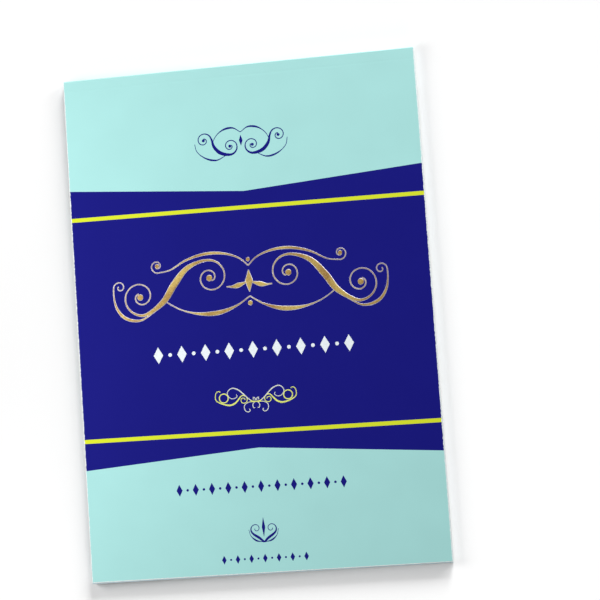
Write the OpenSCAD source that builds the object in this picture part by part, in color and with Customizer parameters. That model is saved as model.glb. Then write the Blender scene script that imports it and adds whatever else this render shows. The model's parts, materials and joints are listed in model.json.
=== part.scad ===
// A4 writing pad: ruled sheets on a grey board, glued at the head, in a soft card cover.
// +Y points to the head of the pad and +Z up through the cover. The origin is under the middle of the pad.

/* [Sheets] */
// Width of a sheet
sheet_w = 210; // [100:1:300]
// Length of a sheet from tail to head
sheet_l = 297; // [140:1:420]
// Thickness of one sheet
sheet_t = 0.095; // [0.06:0.005:0.2]
// Number of sheets in the pad
sheet_count = 40; // [10:1:100]

/* [Back board] */
// Thickness of the board under the sheets
board_t = 1; // [0.4:0.1:3]

/* [Head glue] */
// Thickness of the glue film on the head of the sheets and the board
glue_t = 0.3; // [0.2:0.05:1]

/* [Cover card] */
// Thickness of the card
card_t = 0.3; // [0.2:0.05:0.6]
// Width of the strip glued to the first sheet
strip_l = 6; // [3:0.5:15]
// Length of the flap glued to the back of the board
flap_l = 22; // [8:1:60]
// Slit between the strip and the opening panel
crease_gap = 0.2; // [0.1:0.05:0.6]
// Depth of the bevel that the score presses into each side of the crease
score_d = 0.12; // [0.04:0.02:0.18]
// How far the panel stops short of the tail of the sheets
tail_reveal = 0.6; // [0:0.1:3]

/* [Hidden] */
$fn = 64;

// Heights of the layers, from the flap on the table up to the face of the cover
block_t = sheet_t * sheet_count;
z_board = card_t;
z_block = z_board + board_t;
z_cover = z_block + block_t;
core_h = board_t + block_t;

// Places along the pad
pad_l = sheet_l + glue_t + card_t;
y_tail = -pad_l / 2;
y_head = y_tail + sheet_l;
y_crease = y_head - strip_l;
y_strip = y_crease + crease_gap / 2;
y_panel = y_crease - crease_gap / 2;

// Pushes an outline drawn in Y and Z across the full width of the pad
module across() {
    rotate([90, 0, 90]) linear_extrude(sheet_w, center = true) children();
}

// Quarter of a disc that closes one corner of the head
module corner(r) {
    intersection() {
        circle(r);
        square(r);
    }
}

// Outline of the head: a strip of depth r and height h with both outer corners rounded to r
module head_outline(r, h) {
    translate([0, r]) square([r, h - 2 * r]);
    translate([0, h - r]) corner(r);
    translate([0, r]) rotate(-90) corner(r);
}

// Outline of the card on the sheets between two places, bevelled by the score at one of its ends
module scored_leaf(y_from, y_to, y_score) {
    difference() {
        translate([y_from, z_cover]) square([y_to - y_from, card_t]);
        translate([y_score, z_cover + card_t]) rotate(45) square(score_d * sqrt(2), center = true);
    }
}

module page_block() {
    color("white")
        translate([-sheet_w / 2, y_tail, z_block]) cube([sheet_w, sheet_l, block_t]);
}

module back_board() {
    color("darkgray")
        translate([-sheet_w / 2, y_tail, z_board]) cube([sheet_w, sheet_l, board_t]);
}

module head_glue() {
    color("ivory") across()
        translate([y_head, z_board]) head_outline(glue_t, core_h);
}

module cover_wrap() {
    color("paleturquoise") across() {
        // Bend over the head
        translate([y_head, 0]) difference() {
            head_outline(glue_t + card_t, core_h + 2 * card_t);
            translate([0, card_t]) head_outline(glue_t, core_h);
        }
        // Strip glued to the first sheet
        scored_leaf(y_strip, y_head, y_strip);
        // Flap glued to the back of the board
        translate([y_head - flap_l, 0]) square([flap_l, card_t]);
    }
}

module front_cover() {
    color("paleturquoise") across()
        scored_leaf(y_tail + tail_reveal, y_panel, y_panel);
}

page_block();
back_board();
head_glue();
cover_wrap();
front_cover();
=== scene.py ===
"""An A4 writing pad with a printed soft card cover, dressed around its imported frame."""

import json
import logging
import math
from dataclasses import dataclass
from enum import Enum
from typing import Iterable, Sequence

import bmesh
import bpy
from mathutils import Matrix, Vector


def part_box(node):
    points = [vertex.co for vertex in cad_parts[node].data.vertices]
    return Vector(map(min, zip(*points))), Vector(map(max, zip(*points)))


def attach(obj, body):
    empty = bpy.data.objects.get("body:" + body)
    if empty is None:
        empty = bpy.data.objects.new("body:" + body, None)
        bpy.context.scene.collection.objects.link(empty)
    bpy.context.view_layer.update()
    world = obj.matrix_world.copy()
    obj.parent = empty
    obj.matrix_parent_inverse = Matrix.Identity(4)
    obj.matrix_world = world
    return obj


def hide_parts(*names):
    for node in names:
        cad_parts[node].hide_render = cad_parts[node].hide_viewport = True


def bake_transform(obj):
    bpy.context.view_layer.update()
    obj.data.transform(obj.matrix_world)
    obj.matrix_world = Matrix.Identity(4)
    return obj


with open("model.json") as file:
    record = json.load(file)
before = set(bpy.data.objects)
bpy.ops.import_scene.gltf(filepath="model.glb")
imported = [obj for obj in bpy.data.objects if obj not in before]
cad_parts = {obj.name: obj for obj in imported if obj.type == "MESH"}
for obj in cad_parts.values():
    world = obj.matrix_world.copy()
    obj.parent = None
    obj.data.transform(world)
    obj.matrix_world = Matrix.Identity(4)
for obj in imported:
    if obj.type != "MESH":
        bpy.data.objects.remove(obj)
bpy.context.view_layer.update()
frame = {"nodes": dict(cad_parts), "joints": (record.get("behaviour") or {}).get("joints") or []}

log = logging.getLogger("writing_pad")

MM = 0.001
PRINT_UV = "print"
SAME_POINT = 1e-8
PEN_TIP = 0.02
FULL_TURN = 360
PURE_WHITE = (1.0, 1.0, 1.0, 1.0)

Point2 = tuple[float, float]
Point3 = tuple[float, float, float]
Rgb = tuple[float, float, float]
Quad = tuple[int, int, int, int]
Node = bpy.types.Node
Socket = bpy.types.NodeSocket
Piece = bpy.types.Object
Inputs = dict[str | int, object]


def srgb(red: int, green: int, blue: int) -> Rgb:
    """Turns a colour as a screen shows it into linear light.

    Args:
        red: Red from 0 to 255.
        green: Green from 0 to 255.
        blue: Blue from 0 to 255.

    Returns:
        The three linear values from 0 to 1.
    """
    full, toe, toe_slope, offset, power = 255, 0.04045, 12.92, 0.055, 2.4

    def linear(value: int) -> float:
        """One channel in linear light."""
        share = value / full
        return share / toe_slope if share <= toe else ((share + offset) / (1 + offset)) ** power

    return linear(red), linear(green), linear(blue)


class Ink(Enum):
    """Printing inks of the cover, in linear light."""

    MINT = srgb(171, 225, 222)
    NAVY = srgb(26, 26, 125)
    YELLOW = srgb(218, 228, 50)
    PALE_YELLOW = srgb(226, 233, 120)
    HAIRLINE = srgb(216, 220, 208)
    WHITE = srgb(236, 244, 248)


@dataclass(frozen=True)
class PrintSheet:
    """Where the print lies on the cover, in millimetres from its left edge and its head.

    The print sits a little left of the middle and half a degree off square.
    """

    axis: float = 104.0
    middle: float = 150.0
    turn: float = 0.5
    ink_room: float = 0.04

    @property
    def slope(self) -> float:
        """Slope of the print's lines on the cover."""
        return math.tan(math.radians(self.turn))

    def turned(self, across: float, down: float) -> Point2:
        """Turns a place of a square print about the print's middle."""
        return across - (down - self.middle) * self.slope, down + (across - self.axis) * self.slope


PRINT = PrintSheet()


@dataclass(frozen=True)
class PadSizes:
    """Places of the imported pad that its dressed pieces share, in metres."""

    left: float
    right: float
    tail: float
    head: float
    board_under: float
    block_under: float
    block_top: float
    panel_tail: float
    crease: float
    card: float
    glue: float
    flap_end: float

    @classmethod
    def from_frame(cls, joints: Sequence[dict]) -> "PadSizes":
        """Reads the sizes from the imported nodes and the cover's hinge.

        Args:
            joints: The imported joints.

        Returns:
            The sizes that the pieces are made from.
        """
        block_low, block_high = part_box("page_block")
        board_low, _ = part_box("back_board")
        panel_low, panel_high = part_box("front_cover")
        glue_low, glue_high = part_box("head_glue")
        wrap_low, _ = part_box("cover_wrap")
        return cls(
            left=block_low.x,
            right=block_high.x,
            tail=block_low.y,
            head=block_high.y,
            board_under=board_low.z,
            block_under=block_low.z,
            block_top=block_high.z,
            panel_tail=panel_low.y,
            crease=joints[0]["pos_m"][1],
            card=panel_high.z - panel_low.z,
            glue=glue_high.y - glue_low.y,
            flap_end=wrap_low.y,
        )

    @property
    def width(self) -> float:
        """Width of the pad."""
        return self.right - self.left

    @property
    def length(self) -> float:
        """Length of a sheet."""
        return self.head - self.tail

    @property
    def middle(self) -> float:
        """Middle of a sheet's length."""
        return (self.head + self.tail) / 2

    @property
    def face(self) -> float:
        """Height of the cover's printed face, with room over it for the inks."""
        return self.block_top + self.card - PRINT.ink_room * MM

    @property
    def outer_head(self) -> float:
        """Where the card ends at the head."""
        return self.head + self.glue + self.card

    def on_face(self, from_left: float, from_head: float) -> Vector:
        """Finds a place of a square print, given in millimetres, on the cover's face."""
        across, down = PRINT.turned(from_left, from_head)
        return Vector((self.left + across * MM, self.outer_head - down * MM, self.face))


@dataclass(frozen=True)
class Noise:
    """A noise over a surface: repeats in a unit of place, finer layers, and its stretched range."""

    scale: float
    detail: float
    low: float = 0.0
    high: float = 1.0


class Wiring:
    """Adds nodes to one tree and links them."""

    # Most of a noise lies between these two values.
    noise_low: float = 0.3
    noise_high: float = 0.7
    # A Mix node has sockets of the same names for numbers and for colours: these are the colours.
    mix_first: int = 6
    mix_second: int = 7
    mix_result: int = 2

    def __init__(self, tree: bpy.types.NodeTree) -> None:
        """Keeps the tree that is wired."""
        self.tree = tree

    def add(self, kind: str, inputs: Inputs | None = None, **settings: object) -> Node:
        """Adds a node.

        Args:
            kind: Blender's name for the node.
            inputs: Sockets or plain values to feed it, by the input's name or number.
            settings: Properties to set on it.

        Returns:
            The new node.
        """
        node = self.tree.nodes.new(kind)
        for name, value in settings.items():
            setattr(node, name, value)
        self.fill(node, inputs or {})
        return node

    def fill(self, node: Node, inputs: Inputs) -> None:
        """Links sockets into a node's inputs, or sets plain values there.

        Args:
            node: The node.
            inputs: The sockets or values, by the input's name or number.
        """
        for key, value in inputs.items():
            if isinstance(value, Socket):
                self.tree.links.new(value, node.inputs[key])
            else:
                node.inputs[key].default_value = value

    def place(self) -> Socket:
        """Gives the place on the piece, in metres."""
        return self.add("ShaderNodeTexCoord").outputs["Object"]

    def math(self, operation: str, *values: object) -> Socket:
        """Adds a Math node fed with sockets or numbers and gives its result."""
        return self.add("ShaderNodeMath", dict(enumerate(values)), operation=operation).outputs[0]

    def dot(self, first: object, second: object) -> Socket:
        """Gives the dot product of two vectors."""
        node = self.add("ShaderNodeVectorMath", {0: first, 1: second}, operation="DOT_PRODUCT")
        return node.outputs["Value"]

    def mix(self, factor: object, first: object, second: object) -> Socket:
        """Mixes two colours and gives the mixed one."""
        inputs = {"Factor": factor, self.mix_first: self.rgba(first), self.mix_second: self.rgba(second)}
        return self.add("ShaderNodeMix", inputs, data_type="RGBA").outputs[self.mix_result]

    def tint(self, colour: object, value: Socket) -> Socket:
        """Makes a colour lighter or darker by a factor and gives it."""
        inputs = {"Value": value, "Color": self.rgba(colour)}
        return self.add("ShaderNodeHueSaturation", inputs).outputs["Color"]

    @staticmethod
    def rgba(colour: object) -> object:
        """Makes a plain colour opaque and leaves a socket as it is."""
        return (*colour, 1.0) if isinstance(colour, tuple) else colour

    def noise(self, place: Socket, noise: Noise) -> Socket:
        """Adds a noise over a place and gives its value, about one half."""
        inputs = {"Vector": place, "Scale": noise.scale, "Detail": noise.detail}
        return self.add("ShaderNodeTexNoise", inputs).outputs["Fac"]

    def mottle(self, place: Socket, noise: Noise) -> Socket:
        """Adds a noise over a place and gives it stretched to its range."""
        return self.span(self.noise(place, noise), noise.low, noise.high)

    def span(self, value: Socket, low: float, high: float) -> Socket:
        """Stretches the middle of a noise.

        Args:
            value: The noise.
            low: What its low values become.
            high: What its high values become.

        Returns:
            The stretched noise.
        """
        inputs = {
            "Value": value,
            "From Min": self.noise_low,
            "From Max": self.noise_high,
            "To Min": low,
            "To Max": high,
        }
        return self.add("ShaderNodeMapRange", inputs).outputs["Result"]

    def bump(self, height: Socket, depth: float, under: Socket | None = None) -> Socket:
        """Adds a bump.

        Args:
            height: The surface's height, from 0 to 1.
            depth: What a height of 1 is in metres.
            under: The normal of a bump that this one lies on.

        Returns:
            The normal.
        """
        inputs = {"Height": height, "Distance": depth}
        if under is not None:
            inputs["Normal"] = under
        return self.add("ShaderNodeBump", inputs).outputs["Normal"]


@dataclass(frozen=True)
class Finish:
    """A surface finish. Kinds of finish add their own nodes."""

    name: str
    roughness: float
    gloss: float = 0.5

    def material(self) -> bpy.types.Material:
        """Makes the finish's material, or finds it again.

        Returns:
            The material.
        """
        found = bpy.data.materials.get(self.name)
        if found is not None:
            return found
        made = bpy.data.materials.new(self.name)
        made.use_nodes = True
        wiring = Wiring(made.node_tree)
        shader = made.node_tree.nodes["Principled BSDF"]
        wiring.fill(shader, {"Roughness": self.roughness, "Specular IOR Level": self.gloss})
        self.wire(wiring, shader)
        return made

    def wire(self, wiring: Wiring, shader: Node) -> None:
        """Adds the nodes of this kind of finish and feeds them to the shader."""
        raise NotImplementedError


@dataclass(frozen=True)
class Band:
    """The dark band across the cover and its two rules, in millimetres from the head."""

    top_notch: float = 75.3
    foot_notch: float = 225.2
    slope: float = 0.0755
    top_rule: float = 84.9
    foot_rule: float = 215.9
    rule: float = 2.35


@dataclass(frozen=True, kw_only=True)
class PrintedCard(Finish):
    """Coated card with a mint ground, a dark band and two yellow rules, on a map in millimetres."""

    width: float
    length: float
    gloss: float = 0.03
    band: Band = Band()
    soft_edge: float = 0.05
    chips: Noise = Noise(0.9, 3.0, 0.2, 0.6)
    cloud: Noise = Noise(0.035, 2.0, 0.985, 1.015)
    grain: Noise = Noise(2.4, 4.0, 0.985, 1.015)
    sheen: Noise = Noise(0.3, 3.0, -0.03, 0.05)
    waves: Noise = Noise(0.03, 1.0)
    wave_depth: float = 0.35 * MM
    fibres: Noise = Noise(3.0, 3.0)
    fibre_depth: float = 0.004 * MM

    def wire(self, wiring: Wiring, shader: Node) -> None:
        """Lays the print on the card and the satin coat over it.

        Args:
            wiring: The finish's nodes.
            shader: The surface that they feed.
        """
        place = wiring.add("ShaderNodeUVMap", uv_map=PRINT_UV).outputs["UV"]
        across, down = wiring.add("ShaderNodeSeparateXYZ", {0: place}).outputs[:2]
        bare = self.chipped(wiring, place, across, down)
        colour = wiring.mix(bare, self.fields(wiring, across, down), CARD_CORE.colour)
        shade = wiring.math("MULTIPLY", wiring.mottle(place, self.cloud), wiring.mottle(place, self.grain))
        shiny, dull = self.roughness + self.sheen.low, self.roughness + self.sheen.high
        waves = wiring.bump(wiring.noise(place, self.waves), self.wave_depth)
        surface = {
            "Base Color": wiring.tint(colour, shade),
            "Roughness": wiring.span(wiring.noise(place, self.sheen), shiny, dull),
            "Normal": wiring.bump(wiring.noise(place, self.fibres), self.fibre_depth, waves),
        }
        wiring.fill(shader, surface)

    def fields(self, wiring: Wiring, across: Socket, down: Socket) -> Socket:
        """Draws the ground, the band and the rules.

        Args:
            wiring: The finish's nodes.
            across: Distance from the left edge.
            down: Distance from the head.

        Returns:
            The ink's colour.
        """
        band = self.band
        lean = wiring.math("MULTIPLY", wiring.math("SUBTRACT", down, PRINT.middle), PRINT.slope)
        aside = wiring.math("SUBTRACT", wiring.math("ADD", across, lean), PRINT.axis)
        level = wiring.math("SUBTRACT", down, wiring.math("MULTIPLY", aside, PRINT.slope))
        rise = wiring.math("MULTIPLY", wiring.math("ABSOLUTE", aside), band.slope)
        under_top = wiring.math("SUBTRACT", level, wiring.math("SUBTRACT", band.top_notch, rise))
        over_foot = wiring.math("SUBTRACT", wiring.math("ADD", band.foot_notch, rise), level)
        in_band = wiring.math("MINIMUM", under_top, over_foot)
        offsets = [
            wiring.math("ABSOLUTE", wiring.math("SUBTRACT", level, rule))
            for rule in (band.top_rule, band.foot_rule)
        ]
        in_rule = wiring.math("SUBTRACT", band.rule / 2, wiring.math("MINIMUM", *offsets))
        ground = wiring.mix(self.printed(wiring, in_band), Ink.MINT.value, Ink.NAVY.value)
        return wiring.mix(self.printed(wiring, in_rule), ground, Ink.YELLOW.value)

    def chipped(self, wiring: Wiring, place: Socket, across: Socket, down: Socket) -> Socket:
        """Gives how much of the ink the knife chipped off along the cut edges.

        Args:
            wiring: The finish's nodes.
            place: The place on the print.
            across: Distance from the left edge.
            down: Distance from the head.

        Returns:
            The share of bare card.
        """
        side = wiring.math("MINIMUM", across, wiring.math("SUBTRACT", self.width, across))
        edge = wiring.math("MINIMUM", side, wiring.math("SUBTRACT", self.length, down))
        return self.printed(wiring, wiring.math("SUBTRACT", wiring.mottle(place, self.chips), edge))

    def printed(self, wiring: Wiring, depth: Socket) -> Socket:
        """Gives how much ink lies at a depth inside a field's edge."""
        inputs = {"Value": depth, "From Min": -self.soft_edge, "From Max": self.soft_edge}
        return wiring.add("ShaderNodeMapRange", inputs, interpolation_type="SMOOTHSTEP").outputs["Result"]


@dataclass(frozen=True, kw_only=True)
class FibreStock(Finish):
    """Uncoated paper or board: a base colour, flecks of a second one, faint clouds and fibres."""

    colour: Rgb
    fleck: Rgb
    fleck_scale: float
    gloss: float = 0.05
    fleck_detail: float = 6.0
    fleck_share: float = 0.5
    cloud_size: float = 9.0
    cloud_detail: float = 3.0
    cloud_low: float = 0.985
    cloud_high: float = 1.01
    depth: float = 0.01 * MM

    def wire(self, wiring: Wiring, shader: Node) -> None:
        """Mixes the flecks into the base and raises the fibres.

        Args:
            wiring: The finish's nodes.
            shader: The surface that they feed.
        """
        place = wiring.place()
        flecks = Noise(self.fleck_scale, self.fleck_detail)
        coarse = self.fleck_scale / self.cloud_size
        clouds = Noise(coarse, self.cloud_detail, self.cloud_low, self.cloud_high)
        fine = wiring.noise(place, flecks)
        amount = wiring.math("MULTIPLY", wiring.span(fine, flecks.low, flecks.high), self.fleck_share)
        mixed = wiring.mix(amount, self.colour, self.fleck)
        surface = {
            "Base Color": wiring.tint(mixed, wiring.mottle(place, clouds)),
            "Normal": wiring.bump(fine, self.depth),
        }
        wiring.fill(shader, surface)


@dataclass(frozen=True, kw_only=True)
class PrintInk(Finish):
    """One ink of an ornament, with the coat's satin and a faint mottle."""

    ink: Ink
    gloss: float = 0.04
    mottle: Noise = Noise(900.0, 4.0, 0.94, 1.06)

    def wire(self, wiring: Wiring, shader: Node) -> None:
        """Mottles the ink a little."""
        shade = wiring.mottle(wiring.place(), self.mottle)
        wiring.fill(shader, {"Base Color": wiring.tint(self.ink.value, shade)})


@dataclass(frozen=True, kw_only=True)
class Foil(Finish):
    """Stamped metal foil: two tones in patches and a grain that breaks up its shine."""

    light: Rgb
    dark: Rgb
    patches: Noise = Noise(60.0, 2.0)
    grain: Noise = Noise(1400.0, 2.0, -0.5, 0.5)
    grain_tone: float = 0.6
    grain_depth: float = 0.05 * MM
    metal: float = 0.6

    def wire(self, wiring: Wiring, shader: Node) -> None:
        """Lays the patches and the grain over bare metal.

        Args:
            wiring: The finish's nodes.
            shader: The surface that they feed.
        """
        place = wiring.place()
        grain = wiring.noise(place, self.grain)
        speckle = wiring.span(grain, self.grain.low, self.grain.high)
        tone = wiring.math("MULTIPLY_ADD", speckle, self.grain_tone, wiring.mottle(place, self.patches))
        clamped = wiring.math("MINIMUM", wiring.math("MAXIMUM", tone, 0.0), 1.0)
        surface = {
            "Base Color": wiring.mix(clamped, self.dark, self.light),
            "Metallic": self.metal,
            "Normal": wiring.bump(grain, self.grain_depth),
        }
        wiring.fill(shader, surface)


@dataclass(frozen=True, kw_only=True)
class DriedGlue(Finish):
    """Dried padding glue, a dull film with a few thin patches that lets some light in."""

    colour: Rgb = (0.8, 0.78, 0.7)
    cloud: Noise = Noise(250.0, 4.0, 0.9, 1.04)
    clear: float = 0.2
    clear_depth: float = 0.5 * MM

    def wire(self, wiring: Wiring, shader: Node) -> None:
        """Clouds the film and lets light into it.

        Args:
            wiring: The finish's nodes.
            shader: The surface that they feed.
        """
        surface = {
            "Base Color": wiring.tint(self.colour, wiring.mottle(wiring.place(), self.cloud)),
            "Subsurface Weight": self.clear,
            "Subsurface Scale": self.clear_depth,
        }
        wiring.fill(shader, surface)


CARD_INSIDE = FibreStock(
    "card_inside", roughness=0.75, colour=srgb(223, 230, 230), fleck=srgb(210, 218, 218), fleck_scale=700.0
)
CARD_CORE = FibreStock(
    "card_core", roughness=0.8, colour=srgb(240, 244, 244), fleck=srgb(224, 230, 230), fleck_scale=1500.0
)
PAGE_STOCK = FibreStock(
    "page_stock", roughness=0.85, colour=srgb(221, 240, 246), fleck=srgb(212, 234, 241), fleck_scale=800.0
)
GREY_BOARD = FibreStock(
    "grey_board",
    roughness=0.9,
    colour=srgb(158, 153, 146),
    fleck=srgb(112, 106, 98),
    fleck_scale=900.0,
    fleck_share=0.8,
    depth=0.05 * MM,
)
FEINT = FibreStock(
    "feint_line", roughness=0.8, colour=srgb(160, 182, 192), fleck=srgb(176, 198, 206), fleck_scale=1500.0
)
PADDING_GLUE = DriedGlue("padding_glue", roughness=0.55)
GOLD_FOIL = Foil("gold_foil", roughness=0.5, light=srgb(236, 208, 122), dark=srgb(178, 134, 76))
# A pale, near-white foil laid a little wider than the gold and under it: a painted highlight along the
# gold foil's edges.
FOIL_PAINTED_HIGHLIGHT = Foil(
    "foil_rim", roughness=0.45, light=srgb(248, 244, 252), dark=srgb(206, 200, 220), grain_depth=0.02 * MM
)


def clean_mesh(mesh: bpy.types.Mesh) -> None:
    """Merges doubled points and turns every face outwards.

    Args:
        mesh: The mesh, which is changed.
    """
    shape = bmesh.new()
    shape.from_mesh(mesh)
    bmesh.ops.remove_doubles(shape, verts=shape.verts, dist=SAME_POINT)
    bmesh.ops.recalc_face_normals(shape, faces=shape.faces)
    shape.to_mesh(mesh)
    shape.free()


def link_object(name: str, data: bpy.types.ID) -> Piece:
    """Puts data into the scene as an object at the origin.

    Args:
        name: The piece's name.
        data: Its mesh, curve, light or camera.

    Returns:
        The object.
    """
    made = bpy.data.objects.new(name, data)
    bpy.context.scene.collection.objects.link(made)
    return made


class NodeShape:
    """A Geometry Nodes tree with named inputs, grown into plain meshes."""

    def __init__(self, name: str) -> None:
        """Starts a tree with one geometry in and one out.

        Args:
            name: The tree's name.
        """
        self.tree = bpy.data.node_groups.new(name, "GeometryNodeTree")
        self.tree.is_modifier = True
        self.wiring = Wiring(self.tree)
        self.identifiers: dict[str, str] = {}
        for way in ("INPUT", "OUTPUT"):
            self.tree.interface.new_socket("Geometry", in_out=way, socket_type="NodeSocketGeometry")
        self.start = self.wiring.add("NodeGroupInput")
        self.end = self.wiring.add("NodeGroupOutput")

    def inputs(self, **kinds: str) -> list[Socket]:
        """Adds named inputs.

        Args:
            kinds: The last part of Blender's socket type, such as Float, by the input's name.

        Returns:
            The sockets inside the tree that carry them.
        """
        for name, kind in kinds.items():
            made = self.tree.interface.new_socket(name, in_out="INPUT", socket_type="NodeSocket" + kind)
            self.identifiers[name] = made.identifier
        return [self.start.outputs[name] for name in kinds]

    def line(self, count: Socket, start: Socket, step: Socket) -> Socket:
        """Makes a line of points, one step from each other."""
        inputs = {"Count": count, "Start Location": start, "Offset": step}
        return self.wiring.add("GeometryNodeMeshLine", inputs).outputs["Mesh"]

    def close(self, shape: Socket) -> None:
        """Ends the tree with realized instances and the finish.

        Args:
            shape: The geometry that the tree has made.
        """
        wiring = self.wiring
        realize = wiring.add("GeometryNodeRealizeInstances", {"Geometry": shape})
        (finish,) = self.inputs(Finish="Material")
        dressing = {"Geometry": realize.outputs["Geometry"], "Material": finish}
        dress = wiring.add("GeometryNodeSetMaterial", dressing)
        wiring.fill(self.end, {"Geometry": dress.outputs["Geometry"]})

    def grow(self, name: str, finish: Finish, base: bpy.types.ID, **sizes: object) -> Piece:
        """Runs the tree once and keeps the result as a plain mesh.

        Args:
            name: The piece's name.
            finish: Its finish.
            base: The mesh or curve that the tree starts from.
            sizes: Values of the named inputs.

        Returns:
            The finished piece.
        """
        seed = link_object(name + "_base", base)
        modifier = seed.modifiers.new("shape", "NODES")
        modifier.node_group = self.tree
        for label, value in {**sizes, "Finish": finish.material()}.items():
            modifier[self.identifiers[label]] = value
        graph = bpy.context.evaluated_depsgraph_get()
        mesh = bpy.data.meshes.new_from_object(seed.evaluated_get(graph), depsgraph=graph)
        seed.modifiers.remove(modifier)
        bpy.data.objects.remove(seed)
        mesh.name = name
        clean_mesh(mesh)
        return link_object(name, mesh)


@dataclass(frozen=True)
class Station:
    """One place along a card's section: the points of its two faces and its distance from the head."""

    outer: Point2
    inner: Point2
    from_head: float


class Face(Enum):
    """Faces of a card, by material slot."""

    PRINT = 0
    INSIDE = 1
    CUT = 2


@dataclass
class CardLeaf:
    """A strip of card swept across the pad, printed outside, white inside, with bare cut edges."""

    name: str
    sizes: PadSizes
    stations: Sequence[Station]
    columns: int = 42
    burr: float = 0.09 * MM
    roughness: float = 0.5

    @property
    def around(self) -> int:
        """Number of points in a ring: a row of columns on both faces, and two points at each cut side."""
        return 2 * (self.columns + 1) + 2 * 2

    def build(self) -> Piece:
        """Sweeps the section across the width and closes it.

        Returns:
            The card as one closed mesh.
        """
        mesh = bpy.data.meshes.new(self.name)
        points = [point for station in self.stations for point in self.ring(station)]
        faces = self.sides() + self.ends()
        mesh.from_pydata(points, [], [corners for corners, _ in faces])
        mesh.update()
        for polygon, (_, kind) in zip(mesh.polygons, faces):
            polygon.material_index = kind.value
        self.map_print(mesh)
        clean_mesh(mesh)
        for finish in (self.outside(), CARD_INSIDE, CARD_CORE):
            mesh.materials.append(finish.material())
        return link_object(self.name, mesh)

    def outside(self) -> PrintedCard:
        """Makes the print for a cover of this size."""
        length = (self.sizes.outer_head - self.sizes.panel_tail) / MM
        return PrintedCard("cover_print", self.roughness, width=self.sizes.width / MM, length=length)

    def ring(self, station: Station) -> list[Vector]:
        """Lists the points round the card, along the printed face and back inside.

        Args:
            station: The place along the card.

        Returns:
            The points.
        """
        outer, inner = Vector(station.outer), Vector(station.inner)
        edge = outer + (inner - outer).normalized() * self.burr
        left, right = self.sizes.left, self.sizes.right
        step = (right - left - 2 * self.burr) / self.columns
        across = [left + self.burr + step * i for i in range(self.columns + 1)]
        ring = [Vector((x, *outer)) for x in across]
        ring += [Vector((right, *edge)), Vector((right, *inner))]
        ring += [Vector((x, *inner)) for x in reversed(across)]
        ring += [Vector((left, *inner)), Vector((left, *edge))]
        return ring

    def sides(self) -> list[tuple[Quad, Face]]:
        """Joins each ring to the next one.

        Returns:
            The corners of each face, and its kind.
        """
        count = self.around
        faces: list[tuple[Quad, Face]] = []
        for low in range(0, count * (len(self.stations) - 1), count):
            high = low + count
            for k in range(count):
                following = (k + 1) % count
                corners = (low + k, low + following, high + following, high + k)
                faces.append((corners, self.face_kind(k)))
        return faces

    def ends(self) -> list[tuple[Quad, Face]]:
        """Closes the first and the last ring, column by column.

        Returns:
            The corners of each face, and its kind.
        """
        count = self.around
        upper = [count - 1, *range(self.columns + 2)]
        lower = [count - 2 - k for k in range(len(upper))]
        quads = list(zip(upper, upper[1:], lower[1:], lower))
        return [
            (tuple(first + corner for corner in quad), Face.CUT)
            for first in (0, count * (len(self.stations) - 1))
            for quad in quads
        ]

    def face_kind(self, k: int) -> Face:
        """Says which face of the card a strip along it belongs to.

        Args:
            k: The ring's point that the strip starts from.

        Returns:
            The face.
        """
        if k < self.columns:
            return Face.PRINT
        if k in range(self.columns + 2, self.around - 2):
            return Face.INSIDE
        return Face.CUT

    def map_print(self, mesh: bpy.types.Mesh) -> None:
        """Lays a map in millimetres from the left edge and the head over the card.

        Args:
            mesh: The card's mesh, ring by ring.
        """
        layer = mesh.uv_layers.new(name=PRINT_UV)
        for loop in mesh.loops:
            station = self.stations[loop.vertex_index // self.around]
            x = mesh.vertices[loop.vertex_index].co.x
            layer.data[loop.index].uv = ((x - self.sizes.left) / MM, station.from_head / MM)


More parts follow.
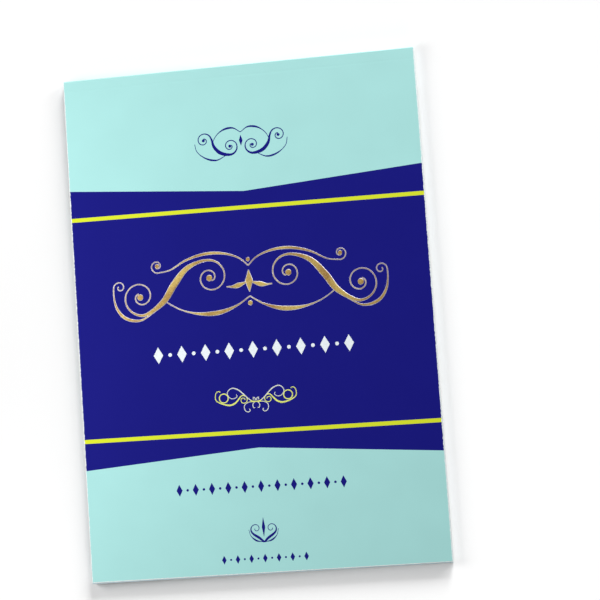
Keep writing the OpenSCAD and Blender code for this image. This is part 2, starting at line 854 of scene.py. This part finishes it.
@dataclass
class CoverCard:
    """The cover card: the printed panel, its crease, the glued strip and the bend over the head."""

    sizes: PadSizes
    score: float = 0.02 * MM
    score_width: float = 0.7 * MM
    fold: float = 0.7 * MM
    coarse: float = 6 * MM
    fine: float = 0.1 * MM
    near: float = 1.2 * MM
    flap_pitch: float = 4 * MM
    bend_steps: int = 8

    def build(self) -> list[Piece]:
        """Makes the card and its flap under the board.

        Returns:
            The card, and the flap.
        """
        sizes = self.sizes
        card = CardLeaf("cover_card", sizes, self.panel() + self.bend()).build()
        flap = CardLeaf("back_flap", sizes, self.flap()).build()
        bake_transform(card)
        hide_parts("front_cover", "cover_wrap")
        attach(flap, "pad")
        return [card, flap]

    def panel(self) -> list[Station]:
        """Divides the flat card on the sheets, from the tail to the head, finer near the crease.

        Returns:
            The stations.
        """
        sizes, near, burr = self.sizes, self.near, CardLeaf.burr
        rows = self.steps(sizes.panel_tail + burr, sizes.crease - near, self.coarse)
        rows += self.steps(sizes.crease - near, sizes.crease + near, self.fine)[1:]
        rows += self.steps(sizes.crease + near, sizes.head, self.coarse)[1:]
        edge = (sizes.panel_tail, sizes.face - burr)
        under = (sizes.panel_tail, sizes.block_top)
        cut = Station(edge, under, sizes.outer_head - sizes.panel_tail)
        return [cut, *(self.flat(y) for y in rows)]

    def flat(self, y: float) -> Station:
        """Makes a station on the sheets, with the score's groove in the printed face.

        Args:
            y: Where along the pad it is.

        Returns:
            The station.
        """
        sizes = self.sizes
        groove = self.score * math.exp(-(((y - sizes.crease) / self.score_width) ** 2))
        return Station((y, sizes.face - groove), (y, sizes.block_top), sizes.outer_head - y)

    def bend(self) -> list[Station]:
        """Divides the two rounded folds over the head.

        Returns:
            The stations.
        """
        sizes, quarter = self.sizes, math.pi / 2
        inner = sizes.glue
        outer = inner + sizes.face - sizes.block_top
        stations: list[Station] = []
        for height, start in ((sizes.block_top - inner, quarter), (sizes.board_under + inner, 0.0)):
            at = Vector((sizes.head, height))
            for step in range(self.bend_steps + 1):
                turn = start - quarter * step / self.bend_steps
                ray = Vector((math.cos(turn), math.sin(turn)))
                after = sizes.block_top - height + outer * (quarter - turn)
                stations.append(Station(tuple(at + ray * outer), tuple(at + ray * inner), outer - after))
        return stations[1:]

    def flap(self) -> list[Station]:
        """Divides the flap under the board, from the head to its cut end.

        Returns:
            The stations.
        """
        sizes = self.sizes
        rows = self.steps(sizes.flap_end, sizes.head, self.flap_pitch)
        drop = sizes.block_top - sizes.board_under
        inner, outer = sizes.board_under, sizes.board_under - sizes.card
        return [Station((y, outer), (y, inner), y - sizes.outer_head - drop) for y in reversed(rows)]

    @staticmethod
    def steps(low: float, high: float, pitch: float) -> list[float]:
        """Divides a stretch into even steps of about that pitch."""
        count = max(1, round((high - low) / pitch))
        return [low + (high - low) * i / count for i in range(count + 1)]


class PenShape(Enum):
    """How a stroke's width runs along it."""

    SWELL = "thin, wide and thin again"
    BALL = "round"
    LOZENGE = "pointed at both ends"


@dataclass(frozen=True)
class Pen:
    """Half the width of a stroke along its length, in millimetres."""

    thin: float
    thick: float
    middle: float = 0.5
    spread: float = 0.2
    shape: PenShape = PenShape.SWELL

    def half_width(self, along: float) -> float:
        """Gives half the stroke's width.

        Args:
            along: Share of the stroke's length.

        Returns:
            Half the width in millimetres.
        """
        off_centre = abs(2 * along - 1)
        if self.shape is PenShape.BALL:
            share = math.sqrt(max(0.0, 1 - off_centre**2))
        elif self.shape is PenShape.LOZENGE:
            share = 1 - off_centre
        else:
            share = math.exp(-(((along - self.middle) / self.spread) ** 2))
        return self.thin + (self.thick - self.thin) * share


@dataclass(frozen=True)
class Volute:
    """A spiral from its eye to its rim, in millimetres. Positive turns run anticlockwise."""

    eye: Point2
    rim: float
    core: float
    turns: float
    rim_angle: float
    opening: float = 1.15
    knots_a_turn: int = 10
    fewest_knots: int = 6

    def outward(self) -> list[Point2]:
        """Winds the spiral from the eye to the rim.

        Returns:
            Its knots.
        """
        count = max(self.fewest_knots, round(abs(self.turns) * self.knots_a_turn))
        knots: list[Point2] = []
        for i in range(count + 1):
            share = i / count
            angle = math.radians(self.rim_angle - FULL_TURN * self.turns * (1 - share))
            radius = self.core + (self.rim - self.core) * share**self.opening
            knots.append((self.eye[0] + radius * math.cos(angle), self.eye[1] + radius * math.sin(angle)))
        return knots

    def inward(self) -> list[Point2]:
        """Lists the spiral's knots from the rim to the eye."""
        return self.outward()[::-1]


@dataclass(frozen=True)
class Stroke:
    """One stroke of an ornament's right half: knots outward and up from its centre, in millimetres."""

    knots: Sequence[Point2]
    pen: Pen
    per_knot: int = 6

    def path(self) -> list[tuple[Point2, float]]:
        """Runs a smooth curve through the knots.

        Returns:
            Points along the curve, each with half the stroke's width there.
        """
        points = self.curve()
        lengths = [0.0]
        for first, second in zip(points, points[1:]):
            lengths.append(lengths[-1] + math.dist(first, second))
        return [(point, self.pen.half_width(done / lengths[-1])) for point, done in zip(points, lengths)]

    def curve(self) -> list[Point2]:
        """Runs a centripetal Catmull-Rom curve through the knots.

        Returns:
            Points along the curve.
        """
        knots = [Vector(knot) for knot in self.knots]
        padded = [2 * knots[0] - knots[1], *knots, 2 * knots[-1] - knots[-2]]
        points: list[Point2] = []
        for p0, p1, p2, p3 in zip(padded, padded[1:], padded[2:], padded[3:]):
            t1 = math.sqrt((p1 - p0).length)
            t2 = t1 + math.sqrt((p2 - p1).length)
            t3 = t2 + math.sqrt((p3 - p2).length)
            for i in range(self.per_knot):
                t = t1 + (t2 - t1) * i / self.per_knot
                middle = p1.lerp(p2, (t - t1) / (t2 - t1))
                before = p0.lerp(p1, t / t1).lerp(middle, t / t2)
                after = middle.lerp(p2.lerp(p3, (t - t2) / (t3 - t2)), (t - t1) / (t3 - t1))
                points.append(tuple(before.lerp(after, (t - t1) / (t2 - t1))))
        points.append(tuple(knots[-1]))
        return points


def ball(centre: Point2, radius: float) -> Stroke:
    """A round dot as a short stroke."""
    knots = [(centre[0] + radius * step, centre[1]) for step in (-1, -0.9, -0.5, 0, 0.5, 0.9, 1)]
    return Stroke(knots, Pen(PEN_TIP, radius, shape=PenShape.BALL))


def lozenge(centre: Point2, width: float, height: float) -> Stroke:
    """An upright lozenge as a short stroke."""
    knots = [(centre[0], centre[1] + height / 2 * step) for step in (-1, -0.5, 0, 0.5, 1)]
    return Stroke(knots, Pen(PEN_TIP, width / 2, shape=PenShape.LOZENGE))


class PenRelief(NodeShape):
    """Grows curves of varying radius into low rounded ridges on the cover."""

    section_sides: int = 12

    def __init__(self) -> None:
        """Builds the tree: a round section along the curve, pressed flat."""
        super().__init__("pen_relief")
        add = self.wiring.add
        relief, ground = self.inputs(Relief="Float", Ground="Float")
        path = self.start.outputs["Geometry"]
        upright = add("GeometryNodeSetCurveNormal", {"Curve": path}, mode="Z_UP")
        circle = {"Resolution": self.section_sides, "Radius": 1.0}
        section = add("GeometryNodeCurvePrimitiveCircle", circle)
        sweeping = {
            "Curve": upright.outputs["Curve"],
            "Profile Curve": section.outputs["Curve"],
            "Scale": add("GeometryNodeInputRadius").outputs["Radius"],
            "Fill Caps": True,
        }
        sweep = add("GeometryNodeCurveToMesh", sweeping)
        pressing = {
            "Geometry": sweep.outputs["Mesh"],
            "Scale": add("ShaderNodeCombineXYZ", {"X": 1.0, "Y": 1.0, "Z": relief}).outputs["Vector"],
            "Translation": add("ShaderNodeCombineXYZ", {"Z": ground}).outputs["Vector"],
        }
        self.close(add("GeometryNodeTransform", pressing).outputs["Geometry"])


@dataclass(frozen=True)
class Ornament:
    """A mirrored ornament on the print's axis, centred in millimetres from the head."""

    name: str
    from_head: float
    strokes: Sequence[Stroke]
    finish: Finish
    relief: float = 0.03
    spread: float = 0.0

    def build(self, sizes: PadSizes, pen: PenRelief) -> Piece:
        """Draws both halves and raises them on the cover.

        Args:
            sizes: Sizes of the pad.
            pen: The tree that raises the strokes.

        Returns:
            The ornament, riding on the cover.
        """
        curve = bpy.data.curves.new(self.name, "CURVE")
        curve.dimensions = "3D"
        for side in (1, -1):
            for stroke in self.strokes:
                path = stroke.path()
                spline = curve.splines.new("POLY")
                spline.points.add(len(path) - 1)
                for point, ((out, up), half) in zip(spline.points, path):
                    place = sizes.on_face(PRINT.axis + side * out, self.from_head - up)
                    point.co = (place.x, place.y, 0, 1)
                    point.radius = (half + self.spread) * MM
        piece = pen.grow(self.name, self.finish, curve, Relief=self.relief, Ground=sizes.face)
        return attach(piece, "cover")


class StudRow(NodeShape):
    """Grows a row of lozenges with round dots between them."""

    lozenge_sides: int = 4
    dot_sides: int = 20
    top_share: float = 0.94
    half_step: Point3 = (0.5, 0.5, 0.5)

    def __init__(self) -> None:
        """Builds the tree: two lines of points, one for each shape."""
        super().__init__("stud_row")
        add = self.wiring.add
        count, step, start, stud, dot = self.inputs(
            Count="Int", Step="Vector", Start="Vector", Lozenge="Vector", Dot="Vector"
        )
        between = {0: step, 1: self.half_step, 2: start}
        half = add("ShaderNodeVectorMath", between, operation="MULTIPLY_ADD").outputs["Vector"]
        fewer = self.wiring.math("SUBTRACT", count, 1.0)
        join = add("GeometryNodeJoinGeometry")
        rows = ((count, start, stud, self.lozenge_sides), (fewer, half, dot, self.dot_sides))
        for number, first, size, sides in rows:
            cone = {"Vertices": sides, "Radius Top": self.top_share, "Radius Bottom": 1.0, "Depth": 1.0}
            planting = {
                "Points": self.line(number, first, step),
                "Instance": add("GeometryNodeMeshCone", cone).outputs["Mesh"],
                "Scale": size,
            }
            planted = add("GeometryNodeInstanceOnPoints", planting)
            self.wiring.fill(join, {"Geometry": planted.outputs["Instances"]})
        self.close(join.outputs["Geometry"])


@dataclass(frozen=True)
class Border:
    """A row of lozenges and dots across the print's axis, in millimetres."""

    name: str
    finish: Finish
    from_head: float
    width: float
    height: float
    count: int
    lozenge_width: float
    dot: float
    ink: float = 0.02

    def build(self, sizes: PadSizes, studs: StudRow) -> Piece:
        """Grows the row on the cover.

        Args:
            sizes: Sizes of the pad.
            studs: The tree that repeats the shapes.

        Returns:
            The row, riding on the cover.
        """
        reach = (self.width - self.lozenge_width) / 2
        first = sizes.on_face(PRINT.axis - reach, self.from_head)
        last = sizes.on_face(PRINT.axis + reach, self.from_head)
        piece = studs.grow(
            self.name,
            self.finish,
            bpy.data.meshes.new(self.name + "_seed"),
            Count=self.count,
            Step=(last - first) / (self.count - 1),
            Start=first,
            Lozenge=Vector((self.lozenge_width / 2, self.height / 2, self.ink)) * MM,
            Dot=Vector((self.dot, self.dot, self.ink)) * MM,
        )
        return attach(piece, "cover")


@dataclass(frozen=True)
class CoverPrint:
    """All the ornaments of the cover."""

    sizes: PadSizes
    flourish_at: float = 46.7
    scrolls_at: float = 130.2
    divider_at: float = 198.6
    curl_at: float = 273.0

    def build(self) -> list[Piece]:
        """Draws every ornament and row.

        Returns:
            The pieces, in the order that they lie from the head.
        """
        pen, studs = PenRelief(), StudRow()
        navy = PrintInk("navy_ink", roughness=0.4, ink=Ink.NAVY)
        yellow = PrintInk("yellow_ink", roughness=0.4, ink=Ink.PALE_YELLOW)
        pale = PrintInk("hairline_ink", roughness=0.4, ink=Ink.HAIRLINE)
        white = PrintInk("white_ink", roughness=0.45, ink=Ink.WHITE)
        scrolls = self.scrolls()
        drawn: list[Ornament | Border] = [
            Ornament("head_flourish", self.flourish_at, self.flourish(), navy),
            # The pale rim, a little wider than the gold foil above it, is a painted highlight along the
            # foil's edges.
            Ornament("scroll_rim", self.scrolls_at, scrolls, FOIL_PAINTED_HIGHLIGHT, relief=0.006, spread=0.2),
            Ornament("scroll_foil", self.scrolls_at, scrolls, GOLD_FOIL, relief=0.018),
            Border(
                "white_border",
                white,
                from_head=168.3,
                width=118.0,
                height=9.8,
                count=9,
                lozenge_width=5.6,
                dot=1.1,
            ),
            Ornament("divider_hairlines", self.divider_at, self.divider_hairlines(), pale),
            Ornament("divider", self.divider_at, self.divider(), yellow, relief=0.035),
            Border(
                "navy_border",
                navy,
                from_head=247.4,
                width=99.6,
                height=7.0,
                count=11,
                lozenge_width=3.6,
                dot=0.75,
            ),
            Ornament("tail_curl", self.curl_at, self.curl(), navy),
            Border(
                "tail_border",
                navy,
                from_head=288.6,
                width=50.6,
                height=5.0,
                count=7,
                lozenge_width=2.7,
                dot=0.6,
            ),
        ]
        return [item.build(self.sizes, pen if isinstance(item, Ornament) else studs) for item in drawn]

    @staticmethod
    def scrolls() -> list[Stroke]:
        """Draws the right half of the large foil scrollwork.

        Returns:
            Its strokes.
        """
        inner = Volute((23, 5.5), rim=10.5, core=2.2, turns=-1.45, rim_angle=80)
        outer = Volute((65, -3), rim=11, core=2.2, turns=-1.45, rim_angle=262)
        top_curl = Volute((54.2, 14.4), rim=4.2, core=1.1, turns=-1.2, rim_angle=245)
        end_curl = Volute((77.2, 3.4), rim=3.6, core=0.9, turns=-1.1, rim_angle=10)
        wave = inner.outward() + [(36, 12.2), (44.5, 3), (51.5, -6.8)] + outer.inward()
        arch = [(0, 11), (5, 15.6), (14, 19), (25, 19.6), (37, 16.6), (46.5, 11.6)] + top_curl.inward()
        bowl = [(0, -7), (8, -12), (19, -15.4), (31, -15.2), (42, -11.8), (50.5, -6.5)]
        end = [(57, -12.2), (66, -16.8), (75, -14.6), (80, -7.5)] + end_curl.inward()
        leaf = [(0, 2), (5.5, 0), (9.5, -0.8), (13.5, -0.6)]
        return [
            Stroke(wave, Pen(0.2, 1.9, spread=0.13)),
            Stroke(bowl, Pen(0.16, 1.2, middle=0.42)),
            Stroke(arch, Pen(0.16, 0.7, middle=0.35)),
            Stroke(end, Pen(0.16, 0.75, middle=0.35)),
            Stroke(leaf, Pen(0.16, 1.3, spread=0.25)),
            lozenge((0, 2), width=4.4, height=13),
            ball((0, -11), 1.3),
            ball((0, 14.6), 1.1),
            ball((23.4, 5.2), 1.7),
            ball((65.2, -3.2), 1.7),
            ball((54.2, 14.4), 1.2),
        ]

    @staticmethod
    def flourish() -> list[Stroke]:
        """Draws the right half of the flourish near the head.

        Returns:
            Its strokes.
        """
        inner = Volute((6.6, -1.5), rim=5.0, core=1.0, turns=1.35, rim_angle=270)
        outer = Volute((22.2, 3.0), rim=4.8, core=1.0, turns=1.25, rim_angle=175)
        wave = inner.outward() + [(12.6, -5.0), (16.2, -1.0)] + outer.inward()
        arch = [(0, 6.4), (4.5, 9.2), (10, 8.6), (14.5, 5.4), (17, 1.2)]
        bowl = [(9, -6.6), (15, -9.2), (21.5, -7.6), (26.5, -3.2), (27.6, 1.2)]
        return [
            Stroke(wave, Pen(0.28, 1.05, spread=0.14)),
            Stroke(arch, Pen(0.2, 0.6, middle=0.4)),
            Stroke(bowl, Pen(0.2, 0.55, middle=0.4)),
            lozenge((0, 1.5), width=2.2, height=6.5),
            ball((6.7, -1.5), 0.9),
            ball((22.3, 3.0), 0.9),
        ]

    @staticmethod
    def divider() -> list[Stroke]:
        """Draws the right half of the scrolled divider's bows, rings and middle.

        Returns:
            Its strokes.
        """
        (across, up), radius, start, knot_turn = (18.9, 2.9), 2.6, 270, 30
        turns = [math.radians(turn) for turn in range(start, start + FULL_TURN + 1, knot_turn)]
        ring = [(across + radius * math.cos(turn), up + radius * math.sin(turn)) for turn in turns]
        whorl = Volute((7.35, 1.27), rim=2.7, core=0.9, turns=-1.3, rim_angle=70)
        tip = [(20.7, 6.5), (21.6, 7.1), (23.1, 6.4), (23.8, 4.3)]
        bow = [(23.4, 1.9), (20.6, 0), (15.2, -1.3), (12.2, -0.2), (9.85, 2.2)]
        return [
            Stroke(ring, Pen(0.3, 0.3)),
            Stroke(tip + bow + whorl.inward(), Pen(0.22, 0.48, middle=0.45)),
            Stroke([(0, 0), (2.0, 0.25), (4.4, 1.9), (6.2, 3.6)], Pen(0.2, 0.4, middle=0.2)),
            Stroke([(0, 0), (2.9, 0), (4.85, -0.3), (6.0, -0.9)], Pen(0.2, 0.34, middle=0.2)),
        ]

    @staticmethod
    def divider_hairlines() -> list[Stroke]:
        """Draws the right half of the scrolled divider's thin strokes, which print paler.

        Returns:
            Its strokes.
        """
        fine = Pen(0.23, 0.23)
        arch = [(0, 0), (2.15, 0.3), (5.2, 2.6), (7.9, 5.4), (10.6, 7.6), (13.3, 8.5), (15.2, 7.9)]
        hook = [(16.6, 6.0), (16.4, 4.5), (15.2, 2.9), (12.9, 2.4), (11, 3.6), (11.4, 4.8)]
        drop = [(2.9, 0), (4.85, -0.3), (6.8, -1.7), (7.15, -3.2), (6.4, -5.1), (4.85, -5.8)]
        return [
            Stroke(arch + hook, Pen(0.2, 0.36, middle=0.35, spread=0.25)),
            Stroke(drop + [(3.7, -4.9), (4.15, -4)], fine),
            Stroke([(0.8, 0), (2, -1.6), (1.6, -3.5), (0.8, -3.5)], fine),
            Stroke([(0, 0.6), (0.7, 2.2), (1.5, 2.4), (1.6, 1.6), (1.0, 1.3)], fine),
        ]

    @staticmethod
    def curl() -> list[Stroke]:
        """Draws the right half of the small curl near the tail.

        Returns:
            Its strokes.
        """
        scroll = Volute((4.4, 1.4), rim=3.4, core=0.7, turns=-1.2, rim_angle=300)
        return [
            Stroke([(0, -6.4), (2.6, -4.0)] + scroll.inward(), Pen(0.2, 0.75, middle=0.2, spread=0.25)),
            Stroke([(0, -6.4), (4.4, -5.4), (7.6, -2.6), (8.6, 1.0)], Pen(0.15, 0.5, middle=0.4)),
            lozenge((0, 2.2), width=2.0, height=11.4),
        ]


class SheetStack(NodeShape):
    """Grows the block of sheets, each a little off the ones below it."""

    def __init__(self) -> None:
        """Builds the tree: a column of points, moved a little, with a sheet at each."""
        super().__init__("sheet_stack")
        add = self.wiring.add
        count, sheet, start, step, stray, seed = self.inputs(
            Count="Int", Sheet="Vector", Start="Vector", Step="Vector", Stray="Vector", Seed="Int"
        )
        back = add("ShaderNodeVectorMath", {0: stray, "Scale": -1.0}, operation="SCALE")
        limits = {0: back.outputs["Vector"], 1: stray, "Seed": seed}
        draw = add("FunctionNodeRandomValue", limits, data_type="FLOAT_VECTOR")
        moving = {"Geometry": self.line(count, start, step), "Offset": draw.outputs[0]}
        laying = {
            "Points": add("GeometryNodeSetPosition", moving).outputs["Geometry"],
            "Instance": add("GeometryNodeMeshCube", {"Size": sheet}).outputs["Mesh"],
        }
        self.close(add("GeometryNodeInstanceOnPoints", laying).outputs["Instances"])


@dataclass
class PageBlock:
    """The glued block of ruled sheets and the feint lines of the first one."""

    sizes: PadSizes
    sheets: int = 40
    air: float = 0.08
    stray: float = 0.05 * MM
    seed: int = 7
    first_line: float = 30 * MM
    line_pitch: float = 8 * MM
    lines: int = 33
    line_inset: float = 0.1 * MM
    line_width: float = 0.22 * MM
    line_ink: float = 0.003 * MM

    def build(self) -> list[Piece]:
        """Grows the sheets and rules the first one.

        Returns:
            The block and its lines, riding on the pad.
        """
        sizes = self.sizes
        stack = SheetStack()
        pitch = (sizes.block_top - sizes.block_under) / self.sheets
        thick = pitch * (1 - self.air)
        block = stack.grow(
            "sheets",
            PAGE_STOCK,
            bpy.data.meshes.new("sheets_seed"),
            Count=self.sheets,
            Sheet=Vector((sizes.width - 2 * self.stray, sizes.length - 2 * self.stray, thick)),
            Start=Vector((0, sizes.middle, sizes.block_under + pitch / 2)),
            Step=Vector((0, 0, pitch)),
            Stray=Vector((self.stray, self.stray, 0)),
            Seed=self.seed,
        )
        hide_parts("page_block")
        page = sizes.block_top - pitch / 2 + thick / 2
        ruling = stack.grow(
            "feint_lines",
            FEINT,
            bpy.data.meshes.new("feint_seed"),
            Count=self.lines,
            Sheet=Vector((sizes.width - 2 * self.line_inset, self.line_width, self.line_ink)),
            Start=Vector((0, sizes.head - self.first_line, page)),
            Step=Vector((0, -self.line_pitch, 0)),
            Stray=Vector((0, 0, 0)),
            Seed=self.seed,
        )
        return [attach(piece, "pad") for piece in (block, ruling)]


@dataclass
class BackBoard:
    """The grey board under the sheets, with edges crushed a little by the guillotine."""

    sizes: PadSizes
    crush: float = 0.12 * MM
    crush_steps: int = 3
    crush_profile: float = 0.6

    def build(self) -> Piece:
        """Makes the board with rounded edges.

        Returns:
            The board, riding on the pad.
        """
        sizes = self.sizes
        size = Vector((sizes.width, sizes.length, sizes.block_under - sizes.board_under))
        middle = Vector((0, sizes.middle, (sizes.block_under + sizes.board_under) / 2))
        shape = bmesh.new()
        placed = Matrix.Translation(middle) @ Matrix.Diagonal((*size, 1))
        bmesh.ops.create_cube(shape, size=1.0, matrix=placed)
        bmesh.ops.bevel(
            shape,
            geom=shape.edges[:],
            offset=self.crush,
            segments=self.crush_steps,
            profile=self.crush_profile,
            affect="EDGES",
        )
        mesh = bpy.data.meshes.new("board")
        shape.to_mesh(mesh)
        shape.free()
        mesh.materials.append(GREY_BOARD.material())
        board = link_object("board", mesh)
        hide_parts("back_board")
        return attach(board, "pad")


@dataclass(frozen=True)
class Lamp:
    """A square soft lamp that faces the pad. Its share is the light that it gives the pad's middle."""

    name: str
    at: Point3
    size: float
    share: float

    @property
    def girth(self) -> float:
        """Square of the radius of a round lamp as large as this one."""
        return self.size**2 / math.pi

    @property
    def spread(self) -> float:
        """Factor that makes the light at the origin one."""
        reach = Vector(self.at).length
        return reach * (reach**2 + self.girth)

    @property
    def power(self) -> float:
        """Power in watts that gives the share on a level surface at the origin."""
        return self.share * math.pi**2 * self.spread / self.at[2]

    def hang(self) -> None:
        """Puts the lamp into the scene."""
        data = bpy.data.lights.new(self.name, "AREA")
        data.size = self.size
        data.energy = self.power
        made = link_object(self.name, data)
        made.location = self.at
        made.rotation_euler = (-Vector(self.at)).to_track_quat("-Z", "Y").to_euler()

    def light_on(self, wiring: Wiring, place: Socket) -> Socket:
        """Works out the light that the lamp gives a place on the floor, as a share.

        Args:
            wiring: The floor's nodes.
            place: The place on the floor.

        Returns:
            The share at that place.
        """
        away = wiring.add("ShaderNodeVectorMath", {0: self.at, 1: place}, operation="SUBTRACT")
        ray = away.outputs["Vector"]
        facing = wiring.dot(ray, Vector(self.at).normalized())
        square = wiring.dot(ray, ray)
        fall = wiring.math("MULTIPLY", square, wiring.math("ADD", square, self.girth))
        strength = wiring.math("MAXIMUM", wiring.math("DIVIDE", facing, fall), 0.0)
        return wiring.math("MULTIPLY", strength, self.share * self.spread)


@dataclass(frozen=True, kw_only=True)
class FloorPaper(Finish):
    """Paper that looks just white: it glows where the lamps fall short and throws little light back."""

    lamps: tuple[Lamp, ...]
    sky: float
    gloss: float = 0.0
    paper: float = 0.98
    white: float = 1.01
    bounce: float = 0.3

    def wire(self, wiring: Wiring, shader: Node) -> None:
        """Evens out the lamps' light over the floor.

        Args:
            wiring: The finish's nodes.
            shader: The surface that they feed.
        """
        place = wiring.place()
        lit: object = self.sky
        for lamp in self.lamps:
            lit = wiring.math("ADD", lit, lamp.light_on(wiring, place))
        pale = wiring.math("MINIMUM", wiring.math("DIVIDE", self.white, lit), self.paper)
        short = wiring.math("SUBTRACT", self.white, wiring.math("MULTIPLY", lit, pale))
        rays = wiring.add("ShaderNodeLightPath").outputs
        seen = wiring.math("ADD", rays["Is Camera Ray"], rays["Is Glossy Ray"])
        seen = wiring.math("MINIMUM", wiring.math("ADD", seen, rays["Is Transmission Ray"]), 1.0)
        kept = wiring.math("MAXIMUM", seen, self.bounce)
        surface = {
            "Base Color": wiring.math("MULTIPLY", pale, kept),
            "Emission Color": PURE_WHITE,
            "Emission Strength": wiring.math("MULTIPLY", seen, wiring.math("MAXIMUM", short, 0.0)),
        }
        wiring.fill(shader, surface)


@dataclass(frozen=True)
class Studio:
    """A white floor and room, the camera, and soft lamps, the strongest at the head and on the left."""

    camera_at: Point3 = (0.1475, -0.0715, 0.9219)
    aim: Point3 = (0.0283, 0.0069, 0.0054)
    roll: float = 4.02
    lens: float = 96.0
    sensor: float = 36.0
    floor_half: float = 20.0
    sky: float = 0.05
    lamps: tuple[Lamp, ...] = (
        Lamp("head_lamp", at=(0.78, 2.4, 1.04), size=0.95, share=0.375),
        Lamp("left_lamp", at=(-0.365, 0.0, 0.255), size=0.3, share=0.37),
        Lamp("right_lamp", at=(0.72, 0.52, 0.315), size=0.38, share=0.15),
        Lamp("tail_lamp", at=(0.4, -2.2, 0.5), size=1.0, share=0.06),
    )

    def build(self) -> None:
        """Sets up the whole studio."""
        bpy.context.scene.view_settings.view_transform = "Standard"
        self.camera()
        self.floor()
        self.world()
        for lamp in self.lamps:
            lamp.hang()

    def camera(self) -> None:
        """Places the camera over the pad, turned a little about its own axis."""
        made = link_object("camera", bpy.data.cameras.new("camera"))
        made.data.lens = self.lens
        made.data.sensor_width = self.sensor
        ahead = (Vector(self.aim) - Vector(self.camera_at)).normalized()
        side = ahead.cross(Vector((0, 1, 0))).normalized()
        level = side.cross(ahead)
        turn = math.radians(self.roll)
        up = level * math.cos(turn) + side * math.sin(turn)
        axes = Matrix((ahead.cross(up), up, -ahead)).transposed()
        made.matrix_world = Matrix.Translation(self.camera_at) @ axes.to_4x4()
        bpy.context.scene.camera = made

    def floor(self) -> None:
        """Lays the floor."""
        half = self.floor_half
        mesh = bpy.data.meshes.new("floor")
        corners = [(-half, -half, 0), (half, -half, 0), (half, half, 0), (-half, half, 0)]
        mesh.from_pydata(corners, [], [(0, 1, 2, 3)])
        paper = FloorPaper("floor", roughness=1.0, lamps=self.lamps, sky=self.sky)
        mesh.materials.append(paper.material())
        link_object("floor", mesh)

    def world(self) -> None:
        """Fills the room with even light and shows the camera a white room."""
        made = bpy.data.worlds.new("room")
        made.use_nodes = True
        wiring = Wiring(made.node_tree)
        seen = wiring.add("ShaderNodeLightPath").outputs["Is Camera Ray"]
        strength = wiring.math("MAXIMUM", seen, self.sky)
        wiring.fill(made.node_tree.nodes["Background"], {"Color": PURE_WHITE, "Strength": strength})
        bpy.context.scene.world = made


def main() -> None:
    """Builds the pad's pieces in order, dresses them and sets up the studio."""
    logging.basicConfig(level=logging.INFO, format="%(name)s: %(message)s")
    sizes = PadSizes.from_frame(frame["joints"])
    pieces = [
        *CoverCard(sizes).build(),
        *CoverPrint(sizes).build(),
        *PageBlock(sizes).build(),
        BackBoard(sizes).build(),
    ]
    glue = frame["nodes"]["head_glue"]
    glue.data.materials.clear()
    glue.data.materials.append(PADDING_GLUE.material())
    for piece in pieces:
        log.info("%s: %d faces", piece.name, len(piece.data.polygons))
    Studio().build()


if __name__ == "__main__":
    main()
